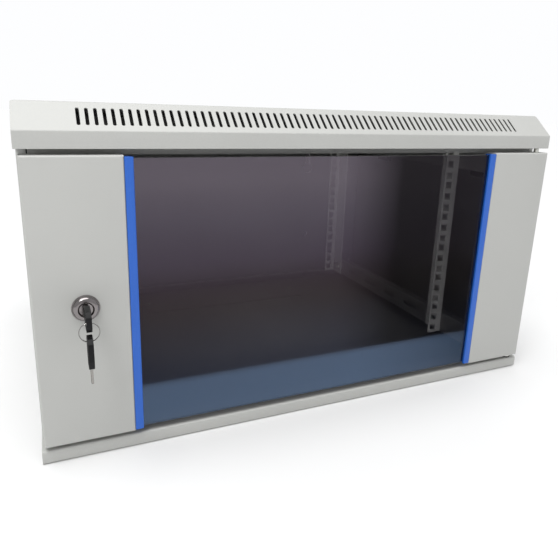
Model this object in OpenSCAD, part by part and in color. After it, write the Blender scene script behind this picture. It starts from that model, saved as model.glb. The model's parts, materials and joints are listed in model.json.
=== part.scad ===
// Wall-hung network cabinet, 6 rack units high: folded sheet-steel body, four 19 inch rails
// and a glass door on sprung pins. Millimetres. Origin: centre of the underside of the body.
// +X is to the right seen from the front, +Y runs from the door to the back, +Z is up.

/* [Cabinet] */
// Width of the base and the cover
cabinet_w = 600; // [580:1:620]
// Depth of the base and the cover
cabinet_d = 450; // [430:1:600]
// Height of the base lip below the door
base_h = 14; // [12:0.5:18]
// Height of the vertical front lip of the cover
cover_lip_h = 15; // [12:0.5:18]
// Rise of the slanted, slotted front of the cover
slope_rise = 23.4; // [20:0.1:30]
// Depth taken by the slanted front of the cover
slope_run = 26; // [22:0.5:34]
// Thickness of the body sheet
sheet = 1.2; // [1:0.1:1.5]
// Outer radius of the folds
bend_r = 2; // [1.8:0.1:3]

/* [Cover slots] */
// Number of slots in the slanted front
slot_count = 68; // [10:1:70]
// Distance from slot to slot
slot_pitch = 7.4; // [6:0.1:8]
// Width of a slot
slot_w = 3; // [2:0.1:4]
// Length of a slot up the slope
slot_len = 21; // [15:0.5:23]

/* [Door] */
// Width of the door
door_w = 594; // [574:1:614]
// Height of the door
door_h = 273; // [270:1:280]
// Depth of the door's folded panels
door_d = 20; // [18:0.5:24]
// How far the door stands in front of the base lip
door_proud = 3.7; // [1:0.1:6]
// Gap under the door
gap_low = 5; // [4:0.5:6]
// Gap over the door
gap_high = 5; // [4.5:0.5:8]
// Gap between the back of the door and the body frame
frame_gap = 6; // [5.5:0.5:8]
// Width of each steel door panel
panel_w = 84; // [70:1:100]
// Width of each coloured edge strip
strip_w = 8.2; // [7:0.1:12]
// Thickness of the glass
glass_t = 4; // [3:0.5:5]
// How far the glass lies behind the front of the door
glass_setback = 3.4; // [3:0.1:5]

/* [Hinge] */
// Distance of the hinge axis from the door's side and front
hinge_inset = 10; // [9:0.5:12]
// Radius of the hinge pins
pin_r = 3; // [2.5:0.5:3]
// Travel of the sprung upper pin
pin_travel = 12; // [10:0.5:12]

/* [Lock] */
// Distance of the lock from the free edge of the door
lock_inset = 44.5; // [35:0.5:50]
// Radius of the lock's bezel
bezel_r = 12.5; // [11:0.5:14]
// Radius of the lock's plug
plug_r = 6; // [5:0.5:6.5]
// Length of a key's head
key_head_l = 28; // [24:1:32]
// Length of a key's blade
key_blade_l = 16; // [14:1:20]

/* [Rack] */
// Height of the rack space in rack units
units = 6; // [4:1:6]
// Distance of the front rails behind the front of the door
rail_setback = 100; // [60:1:140]
// Distance between the front and the rear mounting planes
rail_depth = 325.5; // [250:0.5:330]

/* [Hidden] */

$fn = 48;
eps = 0.5;
bend_steps = 4;

paint = "#cfd2ce";
strip_blue = "#2c62c8";
zinc = "#b9bcc0";
chrome = "#a9a9ad";
black = "#1c1c1e";
brass = "#c9a24b";

// Levels and planes of the body
half_w = cabinet_w / 2;
front_y = -cabinet_d / 2;
back_y = cabinet_d / 2;
door_z0 = base_h + gap_low;
door_z1 = door_z0 + door_h;
lip_z = door_z1 + gap_high;
bend_z = lip_z + cover_lip_h;
top_z = bend_z + slope_rise;
slope_y = front_y + slope_run;
door_y = front_y - door_proud;
frame_y = door_y + door_d + frame_gap;
hem_y = front_y + 35;
skirt_x = half_w - sheet;

// Rack standard
rack_unit = 44.45;
hole_steps = [6.35, 22.225, 38.1];
rack_hole_x = 465.12 / 2;
rack_hole = 9.5;
rack_z0 = 23.65;
rack_z1 = rack_z0 + units * rack_unit;
rail_t = 2;
rail_in = 225;
rail_out = 246;
rail_web = 30;
rail_front_y = door_y + rail_setback;
rail_rear_y = rail_front_y + rail_depth;
rail_margin = 3;

// Posts, arms and screws
post_in = half_w - 34;
post_out = half_w - 10;
post_d = 22.7;
post_back_y = frame_y + post_d;
rear_post_y = back_y - sheet - 24;
arm_h = 30;
arm_lower_z = 20;
arm_upper_z = door_z1 - arm_h;
bolt_r = 3;
bolt_clear = 3.3;
arm_bolt_x = post_in + 12;
rail_bolt_y = 18;
arm_slots = 6;
arm_slot_l = 32;
head_r = 1.9;
head_h = 1.4;
cover_screw_r = 2;
cover_screw_l = 8;
cover_screw_fit = 0.05;
cover_screw_y = [post_back_y - 8, back_y - sheet - 12];

// Cable entries and the earth stud beside the lower one
cable_w = 250;
cable_d = 50;
cable_y = back_y - 60;
cable_lap = 15;
cable_screw_x = (cable_w + cable_lap) / 2;
cable_hole_r = 1.6;
earth_x = -170;
earth_l = 20;
earth_collar = 5;

// Fan grilles, each with four screw holes
fan_x = 80;
fan_hole = 52.5;
fan_hole_r = 2.2;
fan_rings = [14, 26, 38, 50];
fan_ring_w = 7;
fan_spoke_w = 5;
fan_hub_r = 6;

// Back panel, its top edge under the rear lip of the cover, and its wall fixings
rear_lip_rise = 17;
keyhole_x = 190;
keyhole_z = 225;
keyhole_r = 10;
keyhole_slot = 8;
keyhole_rise = 24;
hang_hole_z = 93;
hang_hole_r = 4.5;

// Side panels and their latches
side_x = half_w - 1;
side_z0 = base_h + 0.4;
side_z1 = lip_z - 0.4;
side_y0 = frame_y - sheet;
side_y1 = back_y - 2 * sheet;
latch_y = 120;
latch_z = lip_z - 10;
latch_w = 24;
latch_h = 26;
latch_travel = 8;
latch_gap = 0.3;
tongue_w = 16;

// Door parts
panel_x = door_w / 2 - panel_w / 2;
door_mid_z = (door_z0 + door_z1) / 2;
panel_lip = 18;
strip_x = door_w / 2 - panel_w;
strip_web = 1.8;
glass_y = door_y + glass_setback;
glass_x = strip_x - strip_web - 0.2;
glass_cut = 2.5;
strip_cut = 1.5;
strip_screw_y = door_y + door_d / 2 - 3;
strip_screw_z = [-110, 0, 110];
strip_screw_r = 1.25;

// Hinge axis, pins and bushes
hinge_x = door_w / 2 - hinge_inset;
hinge_y = door_y + hinge_inset;
bush_t = 1.5;
bracket_z = door_z1 - 30;
bracket_low_z = door_z0 + 13;
bracket_t = 1.5;
bracket_l = 18;
bracket_flange = 16;
pin_collar_z = door_z1 - sheet - 2.4;
pin_collar_t = 2.2;
pin_top = lip_z + 6;
pin_taper = 2;
pin_fit = 0.05;
elbow_r = 4.5;
handle_z = bracket_z - pin_travel;
handle_l = 24;

// Hinge spring
spring_turns = 6;
spring_r = 4.5;
spring_wire = 0.5;
spring_ring = 12;
spring_sides = 6;

// Lock, keys and ring
lock_x = -door_w / 2 + lock_inset;
lock_z = door_mid_z;
barrel_r = 9.5;
bezel_h = 6;
barrel_l = 23;
plug_back = frame_y + 1.7 - door_y;
plug_fit = 0.05;
cam_t = 2.5;
cam_l = 32;
key_t = 4.8;
key_w = 19;
key_hole_r = 2.5;
key_hole_in = 6;
blade_t = 2;
blade_w = 7.6;
key_out = 12;
ring_wire = 0.7;
ring_r = 8.6;
ring_fit = 0.2;
ring_in = ring_r - ring_wire;
hang = key_hole_r - ring_wire - ring_fit - ring_in + sqrt(ring_in * ring_in - key_t * key_t / 4);
ring_y = door_y - key_out - key_head_l + key_hole_in;
ring_z = lock_z - hang - ring_r;
spare_hole_z = ring_z - ring_r - hang;

// ---- Outlines ----

function unit(v) = v / norm(v);
function left(v) = [-v.y, v.x];
function swing(a, b) = atan2(a.x * b.y - a.y * b.x, a * b);

// Corner of an outline rounded to radius r
function corner(before, at, after, r) =
    r == 0 ? [at] :
    let (a = unit(before - at), b = unit(after - at), half = acos(a * b) / 2,
         centre = at + unit(a + b) * r / sin(half),
         from = at + a * r / tan(half) - centre, to = at + b * r / tan(half) - centre,
         start = atan2(from.y, from.x), sweep = swing(from, to))
    [for (k = [0:bend_steps]) let (w = start + sweep * k / bend_steps) centre + r * [cos(w), sin(w)]];

// Outline with each corner rounded to its own radius
function rounded(p, r) =
    let (n = len(p))
    [for (i = [0:n - 1]) each corner(p[(i + n - 1) % n], p[i], p[(i + 1) % n], r[i])];

// Outline moved inwards by t
function inset(p, t) =
    let (n = len(p))
    [for (i = [0:n - 1])
        let (a = unit(p[(i + n - 1) % n] - p[i]), b = unit(p[(i + 1) % n] - p[i]))
        p[i] + unit(a + b) * t / sin(acos(a * b) / 2)];

// One fold of a sheet that runs along points p, with its thickness on the left of the path
function fold(p, i, t, far) =
    let (a = unit(p[i] - p[i - 1]), b = unit(p[i + 1] - p[i]), f = swing(a, b), s = sign(f),
         r = s > 0 ? bend_r : bend_r - t, from = -s * left(a), q = r - s * t * far,
         centre = p[i] - a * r * tan(abs(f) / 2) + s * left(a) * r)
    [for (k = [0:bend_steps])
        let (w = atan2(from.y, from.x) + f * k / bend_steps) centre + q * [cos(w), sin(w)]];

function sheet_edge(p, t, far) =
    let (n = len(p) - 1)
    concat([p[0] + far * t * left(unit(p[1] - p[0]))],
           [for (i = [1:1:n - 1]) each fold(p, i, t, far)],
           [p[n] + far * t * left(unit(p[n] - p[n - 1]))]);

// Cross-section of a folded sheet
module folded(p, t = sheet) {
    far = sheet_edge(p, t, 1);
    polygon(concat(sheet_edge(p, t, 0), [for (i = [len(far) - 1:-1:0]) far[i]]));
}

module slot(w, l) {
    square([w, l - w], center = true);
    for (s = [-1, 1]) translate([0, s * (l - w) / 2]) circle(d = w, $fn = 16);
}

// ---- Placing ----

// Outline drawn in (y, z), run along X
module along_x(w) {
    translate([-w / 2, 0, 0]) rotate([90, 0, 90]) linear_extrude(w) children();
}

// Outline drawn in (y, z), run outwards from x
module from_x(x, t) {
    translate([x, 0, 0]) rotate([90, 0, 90]) linear_extrude(t) children();
}

// Outline drawn in (x, z), run backwards from y
module from_y(y, d) {
    translate([0, y + d, 0]) rotate([90, 0, 0]) linear_extrude(d) children();
}

// Right-hand shape put on the right (side 1) or mirrored to the left (side -1)
module on_side(side) {
    if (side < 0) mirror([1, 0, 0]) children();
    else children();
}

// Round shapes about the lock's axis, with z counted outwards from the front of the door
module on_lock() {
    translate([lock_x, door_y, lock_z]) rotate([90, 0, 0]) children();
}

// Hexagon-headed screw on the z axis, with its head below z = 0
module hex_screw(r, l) {
    cylinder(r = r, h = l);
    translate([0, 0, -head_h * r]) cylinder(r = head_r * r, h = head_h * r, $fn = 6);
}

module hex_nut(r, h) {
    difference() {
        cylinder(r = head_r * r, h = h, $fn = 6);
        translate([0, 0, -eps]) cylinder(r = r + 0.1, h = h + 2 * eps);
    }
}

// Pan-headed screw on the z axis, with its head above z = 0
module pan_screw(r, l) {
    translate([0, 0, -l]) cylinder(r = r, h = l + 0.4);
    rotate_extrude() polygon(rounded([[0, 0], [2 * r, 0], [2 * r, 0.8 * r], [0, 0.8 * r]],
                                     [0, 0, 0.5 * r, 0]));
}

// Cone of a countersunk head that fills the thickness of the cover, grown outwards by fit
module flush_head(fit) {
    over = fit > 0 ? eps : 0;
    translate([0, 0, -eps]) cylinder(r = cover_screw_r + fit, h = 2 * eps);
    cylinder(r1 = cover_screw_r + fit, r2 = cover_screw_r + sheet + over + fit, h = sheet + over);
}

// ---- Body shell ----

module base_tray() {
    profile = [[hem_y - 20, sheet], [front_y + sheet, sheet], [front_y + sheet, base_h - sheet],
               [hem_y, base_h - sheet], [hem_y, 0], [back_y, 0], [back_y, base_h]];
    end = [[front_y, 0], [back_y, 0], [back_y, base_h], [front_y, base_h]];
    color(paint) difference() {
        union() {
            along_x(cabinet_w) folded(profile);
            for (x = [-half_w, skirt_x])
                from_x(x, sheet) polygon(rounded(end, [bend_r, bend_r, 0, bend_r]));
        }
        translate([hinge_x, hinge_y, 0]) cylinder(r = pin_r + 1, h = 2 * base_h);
        translate([-cable_w / 2, cable_y - cable_d / 2, -eps]) cube([cable_w, cable_d, 2 * eps + sheet]);
        for (x = [-1, 1]) translate([x * cable_screw_x, cable_y, -eps])
            cylinder(r = cable_hole_r, h = 2 * eps + sheet);
        translate([earth_x, cable_y, -eps]) cylinder(r = bolt_r, h = 2 * eps + sheet);
    }
}

function cover_outline(z0) =
    [[front_y, z0], [front_y, bend_z], [slope_y, top_z], [back_y, top_z], [back_y, z0]];

module cover_solid(outline, w, h, r) {
    intersection() {
        along_x(w) polygon(rounded(outline, [0, r, r, r, 0]));
        from_y(front_y - eps, cabinet_d + 2 * eps)
            polygon(rounded([[-w / 2, 0], [w / 2, 0], [w / 2, h], [-w / 2, h]], [0, 0, r, r]));
    }
}

// Air slots for a 120 mm fan, with its four screw holes
module fan_cut() {
    difference() {
        for (r = fan_rings) difference() {
            circle(r = r + fan_ring_w / 2);
            circle(r = r - fan_ring_w / 2);
        }
        for (a = [0:45:135]) rotate(a) square([3 * fan_hole, fan_spoke_w], center = true);
        circle(r = fan_hub_r);
    }
    for (x = [-fan_hole, fan_hole], y = [-fan_hole, fan_hole]) translate([x, y]) circle(r = fan_hole_r);
}

module top_cover() {
    slope = atan2(slope_rise, slope_run);
    slope_l = norm([slope_rise, slope_run]);
    color(paint) difference() {
        cover_solid(cover_outline(lip_z), cabinet_w, top_z, bend_r);
        cover_solid(inset(cover_outline(lip_z - 10), sheet), cabinet_w - 2 * sheet, top_z - sheet,
                    bend_r - sheet);
        translate([0, front_y, bend_z]) rotate([slope, 0, 0]) translate([0, slope_l / 2, -4])
            linear_extrude(6) for (i = [0:slot_count - 1])
                translate([(i - (slot_count - 1) / 2) * slot_pitch, 0]) slot(slot_w, slot_len);
        for (x = [-fan_x, fan_x]) translate([x, 0, top_z - 3 * sheet]) linear_extrude(4 * sheet) fan_cut();
        translate([-cable_w / 2, cable_y - cable_d / 2, top_z - 3 * sheet])
            cube([cable_w, cable_d, 4 * sheet]);
        for (x = [-1, 1]) translate([x * cable_screw_x, cable_y, top_z - 3 * sheet])
            cylinder(r = cable_hole_r, h = 4 * sheet);
        for (x = [-1, 1], y = cover_screw_y)
            translate([x * arm_bolt_x, y, top_z - sheet]) flush_head(cover_screw_fit);
        // The back of the body closes the cover's back below its short rear lip
        translate([-skirt_x, back_y - 2, lip_z - 1]) cube([2 * skirt_x, 4, rear_lip_rise + 1]);
    }
}

module back_panel() {
    w = 2 * (skirt_x - 0.3);
    z0 = base_h + 0.3;
    z1 = lip_z + rear_lip_rise;
    color(paint) {
        from_y(back_y - sheet, sheet) difference() {
            translate([-w / 2, z0]) square([w, z1 - z0]);
            for (s = [-1, 1]) translate([s * keyhole_x, keyhole_z]) {
                circle(r = keyhole_r);
                translate([-keyhole_slot / 2, 0]) square([keyhole_slot, keyhole_rise]);
                translate([0, keyhole_rise]) circle(d = keyhole_slot);
            }
            for (s = [-1, 1]) translate([s * keyhole_x, hang_hole_z]) circle(r = hang_hole_r);
        }
        for (z = [z0, z1 - sheet]) translate([-post_in + 4, back_y - sheet - 12, z])
            cube([2 * post_in - 8, 12.1, sheet]);
    }
}

module side_panel() {
    plan = [[side_x - 8, side_y0], [side_x, side_y0], [side_x, side_y1], [side_x - 8, side_y1]];
    difference() {
        union() {
            translate([0, 0, side_z0]) linear_extrude(side_z1 - side_z0) folded(plan);
            for (z = [side_z0, side_z1 - sheet]) translate([side_x - 8, side_y0 + 2, z])
                cube([8 - sheet / 2, side_y1 - side_y0 - 4, sheet]);
            // Tabs that drop inside the side of the tray
            for (y = [-latch_y, latch_y]) translate([skirt_x - 0.2 - sheet, y - 20, 4])
                cube([sheet, 40, base_h + 6]);
        }
        from_x(side_x - 3 * sheet, 6 * sheet) {
            for (y = [-latch_y, latch_y]) translate([y - latch_w / 2 + 1, latch_z - latch_h])
                square([latch_w - 2, latch_h]);
        }
        for (y = [-latch_y, latch_y]) translate([side_x - 9, y - tongue_w / 2 - 1, side_z1 - 2 * sheet])
            cube([9 - sheet - 0.1, tongue_w + 2, 3 * sheet]);
    }
}

module side_panel_left() { color(paint) on_side(-1) side_panel(); }
module side_panel_right() { color(paint) on_side(1) side_panel(); }

// Frame in which a latch slides, behind the window of a side panel
module latch_frame(y) {
    x0 = side_x - sheet - 6.8;
    x1 = side_x - sheet;
    translate([0, y, 0]) difference() {
        translate([x0, -latch_w / 2 - 4, latch_z - latch_h - latch_travel - 4])
            cube([x1 - x0, latch_w + 8, latch_h + latch_travel + 8]);
        translate([x0 + 1.2, -latch_w / 2 - latch_gap, latch_z - latch_h - latch_travel - latch_gap])
            cube([x1, latch_w + 2 * latch_gap, latch_h + latch_travel + 2 * latch_gap]);
        translate([x1 - 2.8, -tongue_w / 2 - latch_gap, latch_z]) cube([3, tongue_w + 2 * latch_gap, 5]);
    }
}

module latch_frames() {
    color(black) for (s = [-1, 1], y = [-latch_y, latch_y]) on_side(s) latch_frame(y);
}

// Sprung slider: its tongue stands up behind the skirt of the cover
module latch(side, y) {
    x1 = side_x - sheet - latch_gap;
    color(black) on_side(side) translate([0, y, 0]) {
        translate([x1 - 5, -latch_w / 2, latch_z - latch_h]) cube([5, latch_w, latch_h]);
        translate([x1 - 2.2, -tongue_w / 2, latch_z - 1]) cube([2.2, tongue_w, 18]);
        difference() {
            translate([x1 - 1, -latch_w / 2 + 2, latch_z - 17]) cube([3, latch_w - 4, 16]);
            for (z = [4:4:12]) translate([x1 + 2, -latch_w, latch_z - 1 - z])
                rotate([0, 45, 0]) cube([1, 2 * latch_w, 1]);
        }
    }
}

module latch_left_front() { latch(-1, -latch_y); }
module latch_left_rear() { latch(-1, latch_y); }
module latch_right_front() { latch(1, -latch_y); }
module latch_right_rear() { latch(1, latch_y); }

// ---- Frame ----

module post_cap(y0, y1) {
    difference() {
        translate([post_in, y0, top_z - 2 * sheet]) cube([post_out - post_in, y1 - y0, sheet]);
        translate([arm_bolt_x, (y0 + y1) / 2, 0]) cylinder(r = cover_screw_r + 0.1, h = 2 * top_z);
    }
}

module front_post() {
    plan = [[post_in, frame_y], [post_out, frame_y], [post_out, post_back_y], [post_in, post_back_y]];
    cap_y0 = post_back_y - 16;
    difference() {
        union() {
            translate([0, 0, base_h]) linear_extrude(top_z - sheet - base_h) folded(plan);
            post_cap(cap_y0, post_back_y);
        }
        translate([0, frame_y - eps, bend_z + 10])
            cube([half_w, cap_y0 - frame_y + eps - 0.01, 2 * slope_rise]);
        for (z = [arm_lower_z, arm_upper_z]) translate([arm_bolt_x, post_back_y + eps, z + arm_h / 2])
            rotate([90, 0, 0]) cylinder(r = bolt_r, h = 3);
        translate([0, 0, top_z - sheet]) cube(2 * half_w);
    }
}

module rear_post() {
    y1 = back_y - sheet;
    plan = [[post_in, rear_post_y], [post_out, rear_post_y], [post_out, y1], [post_in, y1]];
    difference() {
        union() {
            translate([0, 0, sheet]) linear_extrude(top_z - 2 * sheet) folded(plan);
            post_cap(rear_post_y, y1);
        }
        for (z = [arm_lower_z, arm_upper_z]) translate([arm_bolt_x, rear_post_y + 2, z + arm_h / 2])
            rotate([90, 0, 0]) cylinder(r = bolt_r, h = 3);
        translate([0, 0, top_z - sheet]) cube(2 * half_w);
    }
}

module front_post_left() { color(paint) on_side(-1) front_post(); }
module front_post_right() { color(paint) on_side(1) front_post(); }
module rear_post_left() { color(paint) on_side(-1) rear_post(); }
module rear_post_right() { color(paint) on_side(1) rear_post(); }

module top_crossbar() {
    z0 = rack_z1;
    z1 = lip_z + 3.2;
    flange_y = front_y + sheet + 1.4;
    color(paint) difference() {
        union() {
            along_x(2 * post_out) folded([[frame_y, z0], [frame_y, z1], [flange_y, z1]]);
            along_x(2 * (skirt_x - 1)) translate([flange_y, z1 - sheet])
                square([frame_y - flange_y - bend_r, sheet]);
        }
        translate([hinge_x, hinge_y, z0]) cylinder(r = pin_r + 1, h = 20);
    }
}

// Channel that carries the rails, from a front post to a rear post
module arm(z) {
    y0 = post_back_y;
    y1 = rear_post_y;
    pitch = (rail_depth - 2 * rail_bolt_y) / (arm_slots - 1);
    channel = [[rail_out + 12, z + arm_h], [rail_out, z + arm_h], [rail_out, z], [rail_out + 12, z]];
    difference() {
        union() {
            from_y(y0, y1 - y0) folded(channel);
            for (y = [y0, y1 - sheet]) translate([rail_out, y, z])
                cube([post_out - 2 - rail_out, sheet, arm_h]);
        }
        for (i = [0:arm_slots - 1])
            translate([rail_out - eps, rail_front_y + rail_bolt_y + i * pitch, z + arm_h / 2])
                rotate([90, 0, 90]) linear_extrude(3) rotate(90) slot(2 * bolt_clear, arm_slot_l);
        for (y = [y0, y1]) translate([arm_bolt_x, y + 3, z + arm_h / 2])
            rotate([90, 0, 0]) cylinder(r = bolt_clear, h = 6);
    }
}

module arm_lower_left() { color(paint) on_side(-1) arm(arm_lower_z); }
module arm_lower_right() { color(paint) on_side(1) arm(arm_lower_z); }
module arm_upper_left() { color(paint) on_side(-1) arm(arm_upper_z); }
module arm_upper_right() { color(paint) on_side(1) arm(arm_upper_z); }

// 19 inch rail; dir is 1 when its web runs backwards from the mounting plane
module rail(plane_y, dir) {
    z0 = rack_z0 - rail_margin;
    z1 = rack_z1 + rail_margin;
    flange_y = dir > 0 ? plane_y : plane_y - rail_t;
    web_y = dir > 0 ? plane_y : plane_y - rail_web;
    difference() {
        union() {
            translate([rail_in, flange_y, z0]) cube([rail_out - rail_in, rail_t, z1 - z0]);
            translate([rail_out - rail_t, web_y, z0]) cube([rail_t, rail_web, z1 - z0]);
        }
        for (u = [0:units - 1], h = hole_steps)
            translate([rack_hole_x, plane_y, rack_z0 + u * rack_unit + h])
                cube([rack_hole, 3 * rail_t, rack_hole], center = true);
        for (z = [arm_lower_z, arm_upper_z])
            translate([rail_out - 2 * rail_t, plane_y + dir * rail_bolt_y, z + arm_h / 2])
                rotate([0, 90, 0]) cylinder(r = bolt_clear, h = 4 * rail_t);
    }
}

module rail_front_left() { color(paint) on_side(-1) rail(rail_front_y, 1); }
module rail_front_right() { color(paint) on_side(1) rail(rail_front_y, 1); }
module rail_rear_left() { color(paint) on_side(-1) rail(rail_rear_y, -1); }
module rail_rear_right() { color(paint) on_side(1) rail(rail_rear_y, -1); }

// Places of the bolts that hold the rails to the arms
module at_rail_bolts() {
    for (s = [-1, 1], y = [rail_front_y + rail_bolt_y, rail_rear_y - rail_bolt_y],
         z = [arm_lower_z, arm_upper_z])
        on_side(s) translate([0, y, z + arm_h / 2]) children();
}

module rail_bolts() {
    color(zinc) at_rail_bolts()
        translate([rail_out - rail_t, 0, 0]) rotate([0, 90, 0]) hex_screw(bolt_r, 12);
}

module rail_nuts() {
    color(zinc) at_rail_bolts() translate([rail_out + sheet, 0, 0]) rotate([0, 90, 0]) hex_nut(bolt_r, 5);
}

module arm_screws() {
    color(zinc) for (s = [-1, 1], z = [arm_lower_z, arm_upper_z]) on_side(s) {
        translate([arm_bolt_x, post_back_y + sheet, z + arm_h / 2]) rotate([90, 0, 0]) hex_screw(bolt_r, 8);
        translate([arm_bolt_x, rear_post_y - sheet, z + arm_h / 2]) rotate([-90, 0, 0]) hex_screw(bolt_r, 8);
    }
}

module cover_screws() {
    color(zinc) for (s = [-1, 1], y = cover_screw_y) translate([s * arm_bolt_x, y, top_z - sheet]) {
        flush_head(0);
        translate([0, 0, -cover_screw_l]) cylinder(r = cover_screw_r, h = cover_screw_l);
    }
}

// ---- Fittings of the body ----

module cable_plate(z) {
    w = cable_w + 2 * cable_lap;
    d = cable_d + 2 * cable_lap;
    color(paint) translate([0, cable_y, z]) linear_extrude(sheet) difference() {
        polygon(rounded([[-w / 2, -d / 2], [w / 2, -d / 2], [w / 2, d / 2], [-w / 2, d / 2]], [3, 3, 3, 3]));
        for (x = [-1, 1]) translate([x * cable_screw_x, 0]) circle(r = cable_hole_r);
    }
}

module cable_plate_top() { cable_plate(top_z - 2 * sheet); }
module cable_plate_base() { cable_plate(sheet); }

module cable_plate_screws() {
    color(zinc) for (x = [-1, 1]) {
        translate([x * cable_screw_x, cable_y, 2 * sheet]) pan_screw(1.5, 2 * sheet);
        translate([x * cable_screw_x, cable_y, top_z - 2 * sheet])
            mirror([0, 0, 1]) pan_screw(1.5, 2 * sheet);
    }
}

// Flanged nylon bush; barrel is the stretch that fills the sheet
module bush(flange_r, barrel) {
    difference() {
        union() {
            cylinder(r = flange_r, h = bush_t);
            translate([0, 0, -barrel]) cylinder(r = pin_r + 1, h = barrel + bush_t);
        }
        translate([0, 0, -barrel - eps]) cylinder(r = pin_r + pin_fit, h = barrel + bush_t + 2 * eps);
    }
}

module hinge_bush_upper() {
    color(black) translate([hinge_x, hinge_y, lip_z + 2]) mirror([0, 0, 1]) bush(pin_r + 1.4, sheet + 1);
}

module hinge_bush_lower() {
    color(black) translate([hinge_x, hinge_y, base_h]) bush(pin_r + 3, sheet + 1);
}

// Rubber pads on the left post that the closed door stops on
module door_bumpers() {
    color(black) for (z = [door_z0 + 50, door_z1 - 50])
        translate([-door_w / 2 + 12, frame_y, z]) rotate([90, 0, 0]) cylinder(r = 4.5, h = frame_gap - 0.3);
}

module earth_stud() {
    color(brass) translate([earth_x, cable_y, 0]) {
        cylinder(r = bolt_r, h = earth_l);
        translate([0, 0, sheet]) cylinder(r = head_r * bolt_r, h = earth_collar, $fn = 6);
    }
}

// ---- Door ----

// Block on y = 0 to d with its front edges rounded
module rounded_block(w, d, h, r) {
    intersection() {
        translate([0, 0, -h / 2]) linear_extrude(h)
            polygon(rounded([[-w / 2, 0], [w / 2, 0], [w / 2, d], [-w / 2, d]], [r, r, r, r]));
        along_x(w) polygon(rounded([[0, -h / 2], [d, -h / 2], [d, h / 2], [0, h / 2]], [r, r, r, r]));
    }
}

// Folded steel door panel, open at the back inside its return lips
module door_pan() {
    difference() {
        rounded_block(panel_w, door_d, door_h, bend_r);
        translate([0, sheet, 0])
            rounded_block(panel_w - 2 * sheet, door_d - 2 * sheet, door_h - 2 * sheet, bend_r - sheet);
        translate([-panel_w / 2 + panel_lip, door_d - 2 * sheet, -door_h / 2 + panel_lip])
            cube([panel_w - 2 * panel_lip, 3 * sheet, door_h - 2 * panel_lip]);
    }
}

module strip_screw_holes(side) {
    for (z = strip_screw_z) translate([side * strip_x, strip_screw_y, door_mid_z + z])
        rotate([0, 90, 0]) cylinder(r = strip_screw_r + 0.35, h = 8, center = true);
}

module door_panel_left() {
    color(paint) difference() {
        translate([-panel_x, door_y, door_mid_z]) door_pan();
        on_lock() cylinder(r = barrel_r + 0.2, h = 10, center = true);
        strip_screw_holes(-1);
    }
}

module door_panel_right() {
    color(paint) difference() {
        translate([panel_x, door_y, door_mid_z]) door_pan();
        for (z = [door_z0, door_z1]) translate([hinge_x, hinge_y, z])
            cylinder(r = pin_r + 0.2, h = 10, center = true);
        strip_screw_holes(1);
    }
}

module door_glass() {
    color([0.25, 0.28, 0.32, 0.5]) translate([-glass_x, glass_y, door_z0 + glass_cut])
        cube([2 * glass_x, glass_t, door_h - 2 * glass_cut]);
}

// Coloured plastic channel that grips the glass and is screwed to the side of a panel
module strip() {
    x0 = strip_x - strip_w;
    y0 = door_y + 0.1;
    y1 = glass_y + glass_t + 2.6;
    outer = [[x0, y0], [strip_x, y0], [strip_x, y1], [x0 + 1, y1]];
    translate([0, 0, door_z0 + strip_cut]) linear_extrude(door_h - 2 * strip_cut) difference() {
        polygon(rounded(outer, [1.2, 0.4, 0, 0.5]));
        translate([x0 - eps, glass_y - 0.1]) square([strip_w - strip_web + eps, glass_t + 0.2]);
    }
}

module strip_left() { color(strip_blue) difference() { on_side(-1) strip(); strip_pilots(-1); } }
module strip_right() { color(strip_blue) difference() { on_side(1) strip(); strip_pilots(1); } }

module strip_pilots(side) {
    for (z = strip_screw_z) translate([side * strip_x, strip_screw_y, door_mid_z + z])
        rotate([0, 90, 0]) cylinder(r = strip_screw_r, h = 8, center = true);
}

module strip_screws() {
    color(zinc) for (s = [-1, 1], z = strip_screw_z) on_side(s)
        translate([strip_x + sheet, strip_screw_y, door_mid_z + z])
            rotate([0, 90, 0]) pan_screw(strip_screw_r, 2.6);
}

// Angle inside the hinge side of the door that steadies a pin; dir is 1 when its flange stands up
module hinge_bracket(z, dir) {
    x1 = door_w / 2 - sheet;
    y0 = door_y + sheet;
    d = door_d - 2 * sheet;
    flange_z = dir > 0 ? z : z + bracket_t - bracket_flange;
    difference() {
        union() {
            translate([hinge_x - bracket_l, y0, z]) cube([x1 - hinge_x + bracket_l, d, bracket_t]);
            translate([x1 - bracket_t, y0 + 1, flange_z]) cube([bracket_t, d - 2, bracket_flange]);
        }
        translate([hinge_x, hinge_y, z - eps]) cylinder(r = pin_r + 0.1, h = bracket_t + 2 * eps);
    }
}

module hinge_bracket_upper() { color(zinc) hinge_bracket(bracket_z, -1); }
module hinge_bracket_lower() { color(zinc) hinge_bracket(bracket_low_z, 1); }

module hinge_pin_lower() {
    z0 = base_h - 6;
    collar = base_h + bush_t + 0.1;
    color(zinc) translate([hinge_x, hinge_y, 0]) {
        translate([0, 0, z0]) cylinder(r1 = pin_r - 1, r2 = pin_r, h = 2);
        translate([0, 0, z0 + 2]) cylinder(r = pin_r, h = door_z0 + 18 - z0);
        translate([0, 0, collar]) cylinder(r = pin_r + 2.5, h = door_z0 - collar);
        translate([0, 0, bracket_low_z + bracket_t + 0.1]) cylinder(r = pin_r + 2, h = 1.2);
    }
}

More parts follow.
